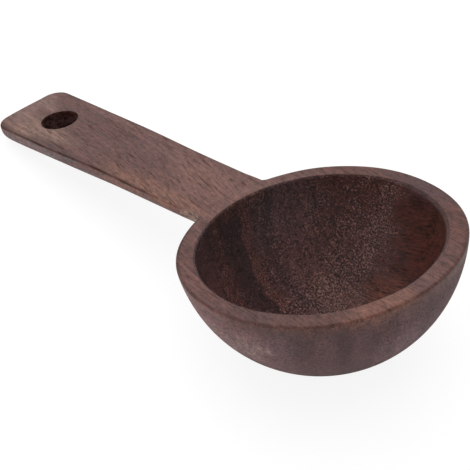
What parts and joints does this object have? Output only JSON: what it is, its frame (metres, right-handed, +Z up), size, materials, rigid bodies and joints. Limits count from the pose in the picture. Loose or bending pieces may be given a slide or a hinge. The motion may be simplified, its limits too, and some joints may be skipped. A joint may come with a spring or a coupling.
{
  "type": "measuring spoon",
  "caption": "Wooden measuring spoon with a deep round bowl and a flat handle that runs flush into the rim and ends in a hanging hole, for scooping and levelling dry goods.",
  "frame": {"origin": "on the table that the spoon lies on, below the middle of its box", "axes": "+Z up from the table, +X from the handle's end towards the bowl, +Y to the left of that; the spoon lies on the round of its bowl and the tip of its handle, so its rim slopes down towards the handle by about 12 degrees"},
  "size_m": [0.1374, 0.0598, 0.0335],
  "materials": {
    "walnut": "sanded walnut with a thin coat of oil, matte"
  },
  "bodies": {
    "root": {"bowl": "walnut", "handle": "walnut"}
  },
  "joints": []
}
